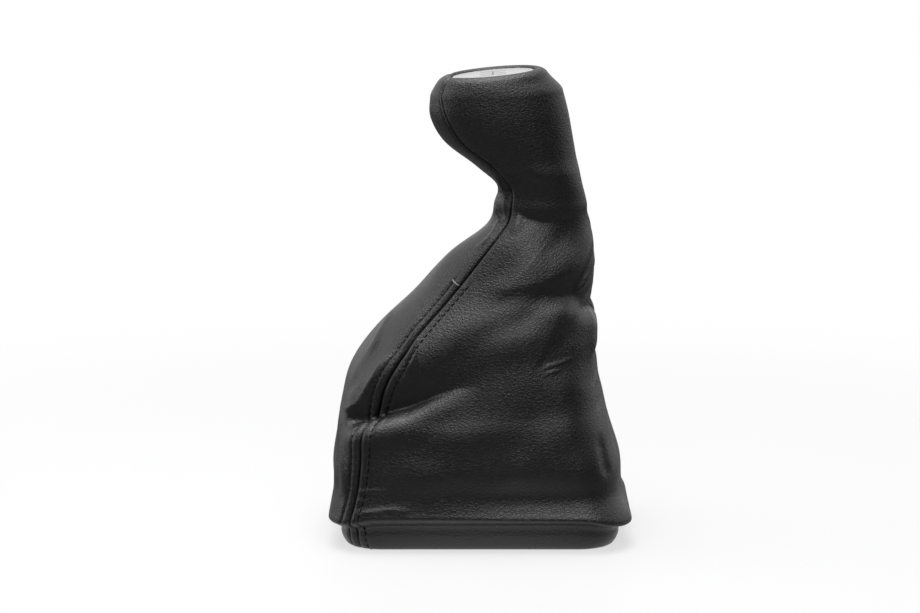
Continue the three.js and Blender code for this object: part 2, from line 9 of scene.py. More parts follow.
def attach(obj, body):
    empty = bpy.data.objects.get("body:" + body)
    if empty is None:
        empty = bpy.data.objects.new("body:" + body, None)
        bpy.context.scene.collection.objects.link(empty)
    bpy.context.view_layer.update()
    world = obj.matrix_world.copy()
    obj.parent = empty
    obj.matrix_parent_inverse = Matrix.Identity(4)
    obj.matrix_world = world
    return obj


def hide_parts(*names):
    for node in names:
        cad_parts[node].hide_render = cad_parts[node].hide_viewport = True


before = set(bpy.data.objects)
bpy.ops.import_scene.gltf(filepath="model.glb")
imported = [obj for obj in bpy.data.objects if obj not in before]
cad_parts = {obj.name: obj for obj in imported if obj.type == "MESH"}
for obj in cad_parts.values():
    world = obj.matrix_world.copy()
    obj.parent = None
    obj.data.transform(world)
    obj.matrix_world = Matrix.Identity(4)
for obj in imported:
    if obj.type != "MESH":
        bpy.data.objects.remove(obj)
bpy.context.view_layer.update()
print("frame loaded:", ", ".join(sorted(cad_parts)))

# The leather's shape is worked out in millimetres. The front is -X, the left side is -Y, up is +Z.
foot = {
    "length": 137.6,
    "width": 103,
    "corner": 21,
    "bandHeight": 12,
    "bandTaper": 2,
    "bandSag": 2.8,
    "strip": 49.8,
    "stripTaper": 0.9,
    "hemHeight": 5.8,
    "hemRadius": 2.6,
    "hemInset": 8.2,
    "overhang": 5.9,
}

knob = {
    "plateLength": 40.4,
    "plateWidth": 27,
    "plateThickness": 1.2,
    "plateRecess": 0.9,
    "carrierThickness": 2.4,
    "clearance": 0.3,
    "lipRadius": 2.4,
    "lipStrip": 8,
    "lipGrip": 0.5,
    "riseFront": 9.6,
    "riseBack": 10.4,
    "insetFront": 7.8,
    "insetBack": 11.6,
    "lean": 4,
}

# Each section: front x, back x, rise at the front and at the back, half width, corner radius,
# roundness, half the front panel's width along the leather, and sag of the two ends
sectionValues = {
    "bulge": (-74.7, 74.7, 5.4, 4.4, 57.4, 23, 0.02, 57, 4),
    "wall": (-73.8, 70.8, 19, 20.4, 55.4, 24, 0.1, 56.6, 1.2),
    "ledge": (-71.4, 65, 19, 20, 52.6, 25, 0.2, 52, 0),
    "tuck": (-70, 61.6, 10, 13, 48.6, 25, 0.3, 49, 0),
    "slopeLow": (-64.6, 58.2, 19, 16, 44, 24, 0.44, 48, 0),
    "slopeMiddle": (-50.8, 57.2, 19.5, 20, 38, 23, 0.6, 42, 0),
    "slopeHigh": (-31.8, 57, 19, 17, 32.4, 22, 0.74, 34.5, 0),
    "shoulder": (-15.6, 56.8, 18, 20, 27, 20, 0.86, 30.5, 0),
    "underNeck": (3, 55, 14, 14, 22.8, 17, 0.94, 20.8, 0),
    "neck": (7.4, 53, 11, 10, 19.8, 15, 1, 17.5, 0),
    "underNose": (8.6, 50.2, 9.2, 10, 19.8, 16, 0.96, 15, 0),
    "jaw": (-2.8, 48, 9.8, 11.5, 21.4, 18, 0.9, 18.8, 0),
    "nose": (-17.6, 46, 11.4, 11.5, 22.6, 19, 0.86, 19.2, 0),
    "noseTip": (-24.6, 43.8, 12.2, 12, 22.8, 19, 0.86, 17.8, 0),
    "crown": (-24.6, 41, 10.6, 10.8, 21.8, 17, 0.92, 13.2, 0),
}
rowKeys = ["frontX", "backX", "frontZ", "backZ", "halfWidth", "corner", "roundness", "strip", "sag"]
sectionNames = list(sectionValues)

sagEnds = (0.66, 0.97)  # a section sags towards its ends, from the first share of its half length on

stack = []
frontHeight = foot["bandHeight"]
backHeight = foot["bandHeight"]
for values in sectionValues.values():
    frontHeight += values[2]
    backHeight += values[3]
    stack.append([values[0], values[1], frontHeight, backHeight, *values[4:]])
stack = np.array(stack, float)


def smooth(value, low, high):
    t = np.clip((np.asarray(value, float) - low) / (high - low), 0, 1)
    return t * t * (3 - 2 * t)


def bump(x):
    return np.exp(-np.square(x))


# A smooth curve through the points, read at whole or part numbers. gaps are the points' distances.
def throughPoints(points, at, gaps=None):
    points = np.asarray(points, float)
    last = len(points) - 1
    spread = (-1,) + (1,) * (points.ndim - 1)
    gaps = (np.ones(last) if gaps is None else gaps).reshape(spread)
    steps = np.diff(points, axis=0) / gaps
    middle = (steps[:-1] * gaps[1:] + steps[1:] * gaps[:-1]) / (gaps[1:] + gaps[:-1])
    slopes = np.concatenate([steps[:1] / 2, middle, steps[-1:] / 2])
    i = np.clip(np.floor(at).astype(int), 0, last - 1)
    t = (at - i).reshape(spread)
    return (
        (2 * t**3 - 3 * t**2 + 1) * points[i]
        + (t**3 - 2 * t**2 + t) * slopes[i] * gaps[i]
        + (3 * t**2 - 2 * t**3) * points[i + 1]
        + (t**3 - t**2) * slopes[i + 1] * gaps[i]
    )


def footRow(inset, z, sag, at=-2.0):
    return {
        "frontX": -foot["length"] / 2 + inset,
        "backX": foot["length"] / 2 - inset,
        "frontZ": z,
        "backZ": z,
        "halfWidth": foot["width"] / 2 - inset,
        "corner": foot["corner"] - inset,
        "roundness": 0,
        "strip": foot["strip"] - foot["stripTaper"] * inset,
        "sag": sag,
        "lean": 0,
        "at": at,
    }


leanFrom = sectionNames.index("underNose")


def sectionRow(at):
    row = dict(zip(rowKeys, throughPoints(stack, np.array([at]))[0]))
    share = min(max((at - leanFrom) / (len(sectionNames) - leanFrom), 0), 1)
    row["lean"] = math.tan(math.radians(knob["lean"])) * share
    row["at"] = at
    return row


# The crown's own frame: middle of the lip, direction to the front, to the left, and up
crown = stack[-1]
lipFront = Vector((crown[0] + knob["insetFront"], 0, crown[2] + knob["riseFront"]))
lipBack = Vector((crown[1] - knob["insetBack"], 0, crown[3] + knob["riseBack"]))
lipMiddle = (lipFront + lipBack) / 2
toFront = (lipFront - lipBack).normalized()
turn = Matrix.Rotation(math.radians(-knob["lean"]), 3, toFront)
toLeft = turn @ Vector((0, -1, 0))
crownUp = (turn @ toFront.cross(Vector((0, -1, 0)))).normalized()
crownTurn = Matrix((toFront, toLeft, crownUp)).transposed().to_4x4()
crownTurn.translation = lipMiddle


def wellRow(grow, sink, forward=0.0, stretch=0.0, strip=None):
    return {
        "forward": forward,
        "halfLength": knob["plateLength"] / 2 + knob["clearance"] + grow + stretch,
        "halfWidth": knob["plateWidth"] / 2 + knob["clearance"] + grow,
        "sink": sink,
        "corner": knob["plateWidth"] / 2,
        "roundness": 1,
        "strip": strip or knob["lipStrip"],
        "at": float(len(sectionNames)),
    }


hem = foot["hemInset"]
radius = foot["hemRadius"]
band = foot["bandHeight"]
bandSag = foot["bandSag"]
lip = knob["lipRadius"]
wellDepth = knob["plateRecess"] + knob["plateThickness"] + knob["clearance"] + knob["carrierThickness"]

# The rows from the tucked end under the foot, round the hem and up the band, over the sections, and
# over the lip of the crown into the plate's well. The hem and the lip turn in shares of their radius.
keyRows = [
    footRow(hem, foot["hemHeight"], 0),
    footRow(hem, radius, 0),
    footRow(hem - 0.3 * radius, 0.3 * radius, 0),
    footRow(hem - radius, 0, 0),
    footRow(foot["bandTaper"] + radius, 0, 0),
    footRow(foot["bandTaper"] + 0.3 * radius, 0.3 * radius, 0),
    footRow(0.75 * foot["bandTaper"], radius, 0),
    footRow(0.1 * foot["bandTaper"], 0.62 * band, 0.5 * bandSag),
    footRow(0, 0.93 * band, 0.9 * bandSag),
    footRow(-0.35, band + 0.5, 1.05 * bandSag, -1.5),
    footRow(-0.62 * foot["overhang"], band + 2.9, 1.25 * bandSag, -1),
]
for quarter in range(4 * len(sectionNames) - 3):
    keyRows.append(sectionRow(quarter / 4))
keyRows += [
    wellRow(3 * lip, 2.1 * lip, 0.2 * lip, 0.6 * lip, 11.6),
    wellRow(2.1 * lip, 0.6 * lip, 0.1 * lip, 0.3 * lip, 9.8),
    wellRow(lip, 0),
    wellRow(0.3 * lip, 0.3 * lip),
    wellRow(0, lip),
    wellRow(0, wellDepth - knob["lipGrip"]),
]


ringSteps = {"corner": 33, "oval": 361, "even": 721, "leastStraight": 0.5}


# Half of a ring from the front middle to the back middle, as points at even steps of its length
def halfRing(row):
    length = row.get("halfLength") or math.hypot(
        row["frontX"] - row["backX"], row["frontZ"] - row["backZ"]
    ) / 2
    width = row["halfWidth"]
    r = min(row["corner"], min(width, length) - ringSteps["leastStraight"])
    quarter = np.linspace(0, math.pi / 2, ringSteps["corner"])
    squared = np.concatenate([
        [[length, 0]],
        np.column_stack([length - r + r * np.cos(quarter), width - r + r * np.sin(quarter)]),
        np.column_stack([r - length - r * np.sin(quarter), width - r + r * np.cos(quarter)]),
        [[-length, 0]],
    ])
    whole = np.linspace(0, math.pi, ringSteps["oval"])
    oval = np.column_stack([length * np.cos(whole), width * np.sin(whole)])
    even = np.linspace(0, 1, ringSteps["even"])
    rings = []
    lengths = []
    for line in (squared, oval):
        run = np.concatenate([[0], np.cumsum(np.linalg.norm(np.diff(line, axis=0), axis=1))])
        lengths.append(run[-1])
        run /= run[-1]
        rings.append(np.column_stack([np.interp(even, run, line[:, k]) for k in (0, 1)]))
    blend = row["roundness"]
    row["ring"] = rings[0] * (1 - blend) + rings[1] * blend
    row["perimeter"] = lengths[0] * (1 - blend) + lengths[1] * blend
    row["halfSpan"] = length


for row in keyRows:
    halfRing(row)


# Points of a ring at signed distances along the leather from the front middle, left above zero
def ringPoints(row, distances):
    share = np.abs(distances) / row["perimeter"]
    wrapped = np.where(share > 1, 2 - share, share)
    side = np.where(distances >= 0, 1.0, -1.0) * np.where(share > 1, -1.0, 1.0)
    even = np.linspace(0, 1, len(row["ring"]))
    x = np.interp(wrapped, even, row["ring"][:, 0])
    left = np.interp(wrapped, even, row["ring"][:, 1]) * side
    if "sink" in row:
        axes = np.array([toFront, toLeft, crownUp])
        middle = np.array(lipMiddle - crownUp * row["sink"] + toFront * row["forward"])
        return middle + np.column_stack([x, left, np.zeros(len(x))]) @ axes
    along = (1 + x / row["halfSpan"]) / 2
    ends = smooth(np.abs(2 * along - 1), *sagEnds)
    z = row["backZ"] + (row["frontZ"] - row["backZ"]) * along - row["sag"] * ends - row["lean"] * left
    return np.column_stack([row["backX"] + (row["frontX"] - row["backX"]) * along, -left, z])


# Folds in the loose leather, each along points (distance from the front seam along the leather,
# height) in millimetres, on the left side (1), the right (-1) or both. depth presses the leather in,
# or pushes it out below zero, and dies away over the widths above and under the line. crease is 1
# for a sharp line and 2 for a soft swell. ledge pushes out the leather at ledgeAt under the line,
# slump lets the leather over the line hang down, and the two ends fade over the shares in fade.
plainFold = {
    "depth": 1.0,
    "above": 3.0,
    "under": 3.0,
    "crease": 1.5,
    "ledge": 0.0,
    "ledgeAt": 6.0,
    "ledgeWidth": 5.0,
    "slump": 0.0,
    "fade": (0.3, 0.3),
}
folds = [
    # The pinched front corners
    {"sides": [1],
     "points": [(-17, 62.5), (-12, 63.5), (-4, 65.8), (3, 68), (10, 70.2), (17, 71.8), (26, 76), (36, 80),
                (54, 82)],
     "depth": 7, "above": 9.5, "under": 5.2, "crease": 1.15, "ledge": 2.8, "ledgeAt": 9, "ledgeWidth": 8,
     "slump": 1.8, "fade": (0.12, 0.62)},
    {"sides": [-1], "points": [(-20, 66), (-8, 66), (4, 66.5), (22, 71), (44, 77), (64, 80)],
     "depth": 6, "above": 9, "under": 4.4, "crease": 1.15, "ledge": 2.8, "ledgeAt": 8, "ledgeWidth": 7,
     "slump": 1.5, "fade": (0.16, 0.6)},
    {"sides": [1], "points": [(-10, 59.5), (-6.5, 64)], "depth": -0.5, "above": 0.9, "under": 0.9},
    {"sides": [1], "points": [(-5.5, 59.5), (-1.5, 64.5)], "depth": -0.6, "above": 0.9, "under": 0.9},
    {"sides": [1], "points": [(0.5, 60.5), (4, 66)], "depth": -0.6, "above": 0.9, "under": 0.9},
    {"sides": [1], "points": [(6, 62), (9, 67)], "depth": -0.4, "above": 1, "under": 1},
    # The hollow under the knob on both sides, and the pocket under its nose
    {"sides": [1],
     "points": [(1, 169), (8, 166.5), (15, 162.5), (22, 158.5), (34, 153.5), (53, 147), (62, 145)],
     "depth": 3.4, "above": 11, "under": 8.5, "crease": 1.9, "ledge": 0.9, "ledgeAt": 14,
     "ledgeWidth": 9, "fade": (0.1, 0.45)},
    {"sides": [-1], "points": [(0, 165), (10, 161), (22, 156), (38, 151), (56, 148)],
     "depth": 3.2, "above": 11, "under": 7, "crease": 1.6, "ledge": 1.2, "ledgeAt": 12, "ledgeWidth": 8,
     "fade": (0.1, 0.45)},
    {"sides": [1, -1], "points": [(3, 184), (18, 182), (34, 178), (50, 172)],
     "depth": -1.1, "above": 13, "under": 9, "crease": 2, "fade": (0.3, 0.4)},
    {"sides": [1], "points": [(2.6, 173), (3.4, 166), (5, 159), (8, 151)],
     "depth": -1.1, "above": 2.4, "under": 1.8, "crease": 1.7},
    {"sides": [1, -1], "points": [(-9.5, 173), (-8.8, 168), (-8.2, 162), (-7, 155)],
     "depth": 3.4, "above": 2.8, "under": 3.2, "crease": 1.8, "fade": (0.1, 0.4)},
    {"sides": [1, -1], "points": [(-4.6, 182), (-4.4, 174), (-3.8, 166), (-3.2, 159)],
     "depth": -1.7, "above": 1.5, "under": 1.5, "crease": 1.6, "fade": (0.3, 0.3)},
    {"sides": [1], "points": [(-17, 166), (-11, 161), (-6, 157.5), (-4, 154), (-4.5, 148.5), (-9, 143)],
     "depth": -1.3, "above": 1.7, "under": 1.7, "crease": 1.5, "fade": (0.2, 0.3)},
    {"sides": [-1], "points": [(-15, 163), (-9, 158), (-5, 152), (-8, 145)],
     "depth": -1.1, "above": 1.9, "under": 1.9, "crease": 1.5, "fade": (0.2, 0.3)},
    # Swags on the left side, from the top
    {"sides": [1], "points": [(12, 131), (26, 128), (40, 131), (52, 136), (64, 135)],
     "depth": -1.9, "above": 13, "under": 5, "crease": 1.8, "fade": (0.3, 0.2)},
    {"sides": [1], "points": [(34, 124.5), (50, 123.5), (62, 122), (74, 118), (88, 114.5), (108, 113)],
     "depth": 2.8, "above": 6, "under": 5.2, "crease": 1.5, "ledge": 1.2, "slump": 0.6,
     "fade": (0.4, 0.15)},
    {"sides": [1], "points": [(69, 143), (66.5, 136), (65, 130), (66, 123)],
     "depth": -1.9, "above": 1.9, "under": 5, "crease": 1.5, "fade": (0.4, 0.2)},
    {"sides": [1],
     "points": [(6, 88), (14, 95), (22, 103), (34, 105), (46, 105), (58, 106.5), (70, 109), (80, 107)],
     "depth": -2.8, "above": 17, "under": 13, "crease": 1.9, "fade": (0.08, 0.2)},
    {"sides": [1], "points": [(91, 117), (90, 108), (94, 101), (104, 91)],
     "depth": -1.3, "above": 5, "under": 2.8, "crease": 1.5, "fade": (0.3, 0.3)},
    {"sides": [1], "points": [(54, 95), (76, 90.5), (92, 86.5), (108, 82.5), (126, 80.5)],
     "depth": 1.2, "above": 9, "under": 7, "crease": 1.7, "ledge": 0.3, "fade": (0.6, 0.15)},
    {"sides": [1], "points": [(26, 90), (56, 93), (90, 93), (124, 88)],
     "depth": -2.8, "above": 15, "under": 26, "crease": 2, "fade": (0.35, 0.3)},
    {"sides": [1], "points": [(78, 82), (98, 82), (116, 80)],
     "depth": -1.5, "above": 8, "under": 15, "crease": 2, "fade": (0.45, 0.4)},
    {"sides": [1], "points": [(72, 88.5), (80, 90.5), (88, 94)],
     "depth": -0.5, "above": 1.1, "under": 1.1},
    {"sides": [1], "points": [(76, 86), (84, 88)], "depth": -0.5, "above": 1, "under": 1},
    # Swags on the right side
    {"sides": [-1], "points": [(14, 127), (34, 131), (54, 128), (70, 131)],
     "depth": -1.8, "above": 12, "under": 6, "crease": 1.9, "fade": (0.3, 0.3)},
    {"sides": [-1], "points": [(30, 116), (50, 113), (72, 110), (96, 108)],
     "depth": 3, "above": 6, "under": 4.4, "crease": 1.3, "ledge": 1.3, "slump": 0.6,
     "fade": (0.5, 0.2)},
    {"sides": [-1], "points": [(10, 92), (30, 97), (52, 98), (76, 96)],
     "depth": -2.8, "above": 15, "under": 12, "crease": 1.9, "fade": (0.2, 0.3)},
    {"sides": [-1], "points": [(56, 85), (80, 80), (104, 77), (124, 78)],
     "depth": 2.8, "above": 9, "under": 4.6, "crease": 1.3, "ledge": 1.4, "fade": (0.6, 0.2)},
    {"sides": [-1], "points": [(86, 106), (84, 98), (90, 91), (100, 86)],
     "depth": -1.7, "above": 5, "under": 2.4, "fade": (0.3, 0.3)},
    # The front panel
    {"sides": [1], "points": [(-6, 98), (-8, 90), (-8.5, 84), (-10, 76), (-13, 70), (-17, 65)],
     "depth": -2.2, "above": 2.2, "under": 3.4, "crease": 1.4, "fade": (0.3, 0.08)},
    {"sides": [-1], "points": [(-6, 96), (-8, 86), (-11, 76), (-17, 68)],
     "depth": -1.9, "above": 2.4, "under": 3.4, "crease": 1.5, "fade": (0.3, 0.1)},
    {"sides": [1, -1], "points": [(-22, 106), (-19, 94), (-20, 82), (-25, 72)],
     "depth": 1.5, "above": 4, "under": 5, "crease": 1.8, "fade": (0.3, 0.3)},
    {"sides": [1], "points": [(-40, 114), (-30, 108), (-25, 99), (-24, 90)],
     "depth": -0.9, "above": 2.2, "under": 2.2, "fade": (0.3, 0.3)},
    {"sides": [1], "points": [(-18, 60), (-13, 47), (-9.5, 35), (-8, 24)],
     "depth": -1, "above": 1.9, "under": 2.2},
    {"sides": [1], "points": [(-24, 62), (-20, 48), (-16, 34), (-15, 22)],
     "depth": 1, "above": 2.6, "under": 2.6},
    {"sides": [1], "points": [(-36, 62), (-32, 46), (-29, 32)],
     "depth": 1.1, "above": 3.2, "under": 3.2},
    {"sides": [-1], "points": [(-16, 60), (-13, 46), (-12, 30)], "depth": 1, "above": 3, "under": 3},
    {"sides": [-1], "points": [(-30, 58), (-26, 42), (-27, 26)],
     "depth": -0.9, "above": 2.6, "under": 2.6},
    # Small wrinkles over the base
    {"sides": [1], "points": [(-0.5, 29.5), (7, 31), (17, 30.6)],
     "depth": -0.6, "above": 1, "under": 1.1},
    {"sides": [1], "points": [(-1, 24.5), (4, 26), (9, 26)], "depth": -0.4, "above": 1, "under": 1},
    {"sides": [1], "points": [(-2, 18.6), (8, 20.4), (20, 22), (32, 20.6)],
     "depth": -0.8, "above": 1.2, "under": 1.2},
    {"sides": [-1], "points": [(0, 26), (9, 28), (18, 27)], "depth": -0.7, "above": 1.1, "under": 1.1},
    {"sides": [-1], "points": [(0, 20), (12, 21.5), (26, 20.5)],
     "depth": -0.7, "above": 1.2, "under": 1.2},
    {"sides": [1], "points": [(118, 80), (121, 73), (124, 66)], "depth": 0.9, "above": 3, "under": 2.4},
    {"sides": [1], "points": [(120, 58), (123, 50), (125, 42), (130, 34)],
     "depth": 1.6, "above": 2.6, "under": 3, "crease": 1.6},
    {"sides": [-1], "points": [(112, 64), (120, 50), (124, 36)], "depth": 1.2, "above": 3.4, "under": 3},
    {"sides": [1], "points": [(8, 52), (40, 47), (76, 50)],
     "depth": 0.6, "above": 7, "under": 6, "crease": 2},
    {"sides": [-1], "points": [(8, 48), (44, 53), (84, 47)],
     "depth": 0.7, "above": 7, "under": 6, "crease": 2},
]
creaseRound = 0.1  # how far the very line of a crease is rounded, as a share of its width

# How far the leather can be pressed in: hardly over the bottom of the knob's core, more under it
coreLimit = {"bottom": 166.5, "slack": 0.1, "growth": 0.07, "softness": 0.9}


# Signed distance from a crease, above it over zero, and how strong the fold is there
def foldField(fold, along, z):
    points = np.array(fold["points"], float)
    steps = np.diff(points, axis=0)
    lengths = np.linalg.norm(steps, axis=1)
    starts = np.concatenate([[0], np.cumsum(lengths)])
    best = np.full(along.shape, 1e9)
    across = np.zeros(along.shape)
    share = np.zeros(along.shape)
    facing = np.sign(points[-1, 0] - points[0, 0])
    for k, (point, step, length) in enumerate(zip(points, steps, lengths)):
        dx = along - point[0]
        dz = z - point[1]
        t = np.clip((dx * step[0] + dz * step[1]) / length**2, 0, 1)
        away = np.hypot(dx - t * step[0], dz - t * step[1])
        side = np.sign(dz * step[0] - dx * step[1]) * facing
        nearer = away < best
        best = np.where(nearer, away, best)
        across = np.where(nearer, away * side, across)
        share = np.where(nearer, (starts[k] + t * length) / starts[-1], share)
    first, last = fold["fade"]
    return across, smooth(share, 0, first) * (1 - smooth(share, 1 - last, 1))


def foldShift(distance, strip, perimeter, z):
    outward = np.zeros(distance.shape)
    upward = np.zeros(distance.shape)
    for fold in folds:
        fold = {**plainFold, **fold}
        for side in fold["sides"]:
            onSide = distance * side
            along = np.where(onSide < -0.5 * perimeter, onSide + 2 * perimeter, onSide) - strip
            across, strength = foldField(fold, along, z)
            width = np.where(across > 0, fold["above"], fold["under"])
            rounded = np.hypot(across / width, creaseRound) - creaseRound
            outward += strength * (
                fold["ledge"] * bump((across + fold["ledgeAt"]) / fold["ledgeWidth"])
                - fold["depth"] * np.exp(-(rounded ** fold["crease"]))
            )
            reach = 0.4 * fold["above"]
            upward -= strength * fold["slump"] * bump((across - reach) / reach)
    under = np.maximum(coreLimit["bottom"] - z, 0)
    limit = -coreLimit["slack"] - coreLimit["growth"] * under**2
    return (outward + limit + np.hypot(outward - limit, coreLimit["softness"])) / 2, upward


# The wall draws in over the bulge and flares to it, most towards the back of each side
flare = {
    "least": 0.35,
    "grows": (0.38, 0.62),
    "dies": (0.84, 0.96),
    "loss": 0.6,
    "bulge": 0.8,
    "bulgeHeight": 15.5,
    "bulgeWidth": 4.5,
    "waist": 3.3,
    "waistHeight": 27.5,
    "waistWidth": 8,
}


def flareShift(distance, perimeter, z):
    share = np.abs(distance) / perimeter
    strength = flare["least"] + (1 - flare["least"]) * smooth(share, *flare["grows"])
    strength -= flare["loss"] * smooth(share, *flare["dies"])
    bulge = flare["bulge"] * bump((z - flare["bulgeHeight"]) / flare["bulgeWidth"])
    waist = flare["waist"] * bump((z - flare["waistHeight"]) / flare["waistWidth"])
    return strength * (bulge - waist)


# Long soft swells that keep the loose leather from looking machined
swells = [
    {"size": 0.35, "around": 0.041, "up": 0.083, "phase": 0.6},
    {"size": 0.28, "around": 0.093, "up": -0.061, "phase": 2.1},
    {"size": 0.18, "around": -0.151, "up": 0.117, "phase": 4.4},
    {"size": 0.1, "around": 0.27, "up": 0.21, "phase": 1.3},
]


def swellHeight(distance, z):
    total = np.zeros(distance.shape)
    for swell in swells:
        wave = distance * swell["around"] + z * swell["up"] + swell["phase"]
        total += swell["size"] * np.sin(wave + 0.8 * np.sin(0.37 * wave + swell["phase"]))
    return total * smooth(z, 22, 40) * (1 - smooth(z, 150, 172))


# overlap is what two panels share at a seam, and depth how far their edges turn in over edgeFall. The
# stitched line lies at stitchOffset. It dips into the front panel and the side panels, with a puff of
# leather on either side. It ends at topEnd, and on the front panel endRise higher for each millimetre.
seam = {
    "overlap": 0.25,
    "depth": 2.1,
    "edgeFall": 0.9 / 1.4,
    "stitchOffset": 5.2,
    "frontDip": 0.5,
    "sideDip": 0.22,
    "dipWidth": 0.7,
    "puff": 0.38,
    "outerPuff": 0.16,
    "pucker": 0.05,
    "pitch": 3.4,
    "topEnd": 127.5,
    "endRise": 0.45,
    "allowance": 12.6,
}
# Distances of the fine columns from a stitched seam and from the plain one, and of those past the edge
seamSteps = [0, 0.3, 0.65, 1.05, 1.5, 2.1, 2.8, 3.5, 4.1, 4.6, 4.95, 5.2, 5.45, 5.8, 6.3, 6.9, 7.7, 8.6]
plainSteps = [0, 0.3, 0.65, 1.05, 1.5, 2.1, 2.8, 3.6]
pastSteps = [0.6, 1.2]
innerColumns = {"front": 60, "side": 96}
noSeam = 99.0  # the front panel's distance from the back seam, which it doesn't touch
stitchColumn = seamSteps.index(seam["stitchOffset"])


# Signed distances of a panel's columns on one row, and how far they are from the front and back seams
def frontColumns(row):
    half = row["strip"] + seam["overlap"] / 2
    left = half - np.array(seamSteps) * min(1, half / seam["allowance"])
    between = np.linspace(left[-1], -left[-1], innerColumns["front"] + 2)[1:-1]
    outer = half + np.array(pastSteps)[::-1]
    distances = np.concatenate([outer, left, between, -left[::-1], -outer[::-1]])[::-1]
    return distances, half - np.abs(distances), np.full(distances.shape, noSeam)


def sideColumns(row):
    start = row["strip"] - seam["overlap"] / 2
    end = row["perimeter"] + seam["overlap"] / 2
    first = start + np.array(seamSteps)
    last = end - np.array(plainSteps)[::-1]
    between = np.linspace(first[-1], last[0], innerColumns["side"] + 2)[1:-1]
    past = np.array(pastSteps)
    distances = np.concatenate([start - past[::-1], first, between, last, end + past])
    return distances, distances - start, end - distances


# Rows of the fine grid: closer together than the key rows, and closest where the leather shows
rowSpacing = {"hem": 1.3, "hemRows": 6, "wall": 0.72, "measuredAt": 20.0}
besideSeam = [ringPoints(row, np.array([row["strip"] + rowSpacing["measuredAt"]]))[0] for row in keyRows]
keyGaps = np.linalg.norm(np.diff(besideSeam, axis=0), axis=1)


def fineSteps():
    numbers = []
    for k, gap in enumerate(keyGaps):
        spacing = rowSpacing["hem"] if k < rowSpacing["hemRows"] else rowSpacing["wall"]
        count = max(2, round(gap / spacing))
        numbers.append(k + np.arange(count) / count)
    return np.concatenate([*numbers, [len(keyRows) - 1.0]])


fineAt = fineSteps()
sectionOf = np.interp(fineAt, np.arange(len(keyRows)), [row["at"] for row in keyRows])
print("rows of the leather:", len(fineAt))


def betweenRows(values):
    return throughPoints(values, fineAt, keyGaps)


def gridNormals(points):
    around = np.gradient(points, axis=1)
    up = np.gradient(points, axis=0)
    normals = np.cross(around, up)
    return normals / np.maximum(np.linalg.norm(normals, axis=2, keepdims=True), 1e-9)


# The rounded edge of the leather at a seam, the channel of a stitched line, and the puffs beside it
def seamShape(fromSeam, runLength, stitched, dip=0.0):
    edge = -seam["depth"] * np.exp(-fromSeam / seam["edgeFall"])
    pitches = runLength / seam["pitch"]
    fromHole = np.abs(pitches - np.round(pitches)) * seam["pitch"]
    offLine = fromSeam - seam["stitchOffset"]
    channel = bump(offLine / seam["dipWidth"]) * (0.8 + 0.5 * bump(fromHole / seam["dipWidth"]))
    puff = seam["puff"] * bump((offLine + 2.5) / 1.5) + seam["outerPuff"] * bump((offLine - 2.2) / 1.4)
    pucker = seam["pucker"] * np.cos(2 * math.pi * pitches) * bump((offLine + 1.4) / 1.6)
    return edge + stitched * (puff - dip * channel - pucker)


def runLengths(points):
    steps = np.linalg.norm(np.diff(points, axis=0), axis=2)
    return np.concatenate([np.zeros((1, points.shape[1])), np.cumsum(steps, axis=0)])


# How high the stitched line reaches at a distance from the seam
def stitchEnd(side, fromSeam):
    return seam["topEnd"] + (seam["endRise"] if side == 0 else 0) * fromSeam


# The folds start between two of the key rows, over the band, and end between two sections, under the
# nose. The seams' shapes start at the hem and end in the well, between two of the key rows.
foldsGrow = (9.5, 11.5)
foldsDie = (10.4, 11.2)
seamsGrow = (4, 6.5)
seamsDie = (len(keyRows) - 3.5, len(keyRows) - 2)


# A panel: its points, its outward normals and its place on the flat leather
def shapePanel(side):
    columns = [frontColumns(row) if side == 0 else sideColumns(row) for row in keyRows]
    sign = side or 1
    points = betweenRows([ringPoints(row, sign * column[0]) for row, column in zip(keyRows, columns)])
    points[..., 2] = np.maximum(points[..., 2], 0)
    distance = betweenRows([sign * column[0] for column in columns])
    fromSeam = betweenRows([np.maximum(column[1], 0) for column in columns])
    fromBack = betweenRows([column[2] for column in columns])
    strip = betweenRows([row["strip"] for row in keyRows])[:, None]
    perimeter = betweenRows([row["perimeter"] for row in keyRows])[:, None]
    if side == -1:
        points, distance, fromSeam, fromBack = (
            values[:, ::-1] for values in (points, distance, fromSeam, fromBack)
        )
    plainNormals = gridNormals(points)
    visible = smooth(fineAt, *foldsGrow) * (1 - smooth(sectionOf, *foldsDie))
    outward, upward = foldShift(distance, strip, perimeter, points[..., 2])
    outward += swellHeight(distance, points[..., 2]) + flareShift(distance, perimeter, points[..., 2])
    points = points + plainNormals * (outward * visible[:, None])[..., None]
    points[..., 2] += upward * visible[:, None]
    normals = gridNormals(points)
    run = runLengths(points)
    firstLine = run[:, [len(pastSteps) + stitchColumn]]
    lastLine = run[:, [-1 - len(pastSteps) - stitchColumn]]
    onLast = distance > 0 if side == 0 else side == -1
    stitchRun = np.where(onLast, lastLine, firstLine)
    stitched = 1 - smooth(points[..., 2] - stitchEnd(side, fromSeam), -1, 3)
    shown = smooth(fineAt, *seamsGrow) * (1 - smooth(fineAt, *seamsDie))
    dip = seam["frontDip"] if side == 0 else seam["sideDip"]
    depth = seamShape(np.maximum(fromSeam, 0), stitchRun, stitched, dip)
    depth += seamShape(np.maximum(fromBack, 0), stitchRun, 0)
    points = points + normals * (depth * shown[:, None])[..., None]
    keep = slice(len(pastSteps), -len(pastSteps))
    return {
        "points": points[:, keep],
        "normals": normals[:, keep],
        "across": distance[:, keep],
        "run": run[:, keep],
        "side": side,
    }


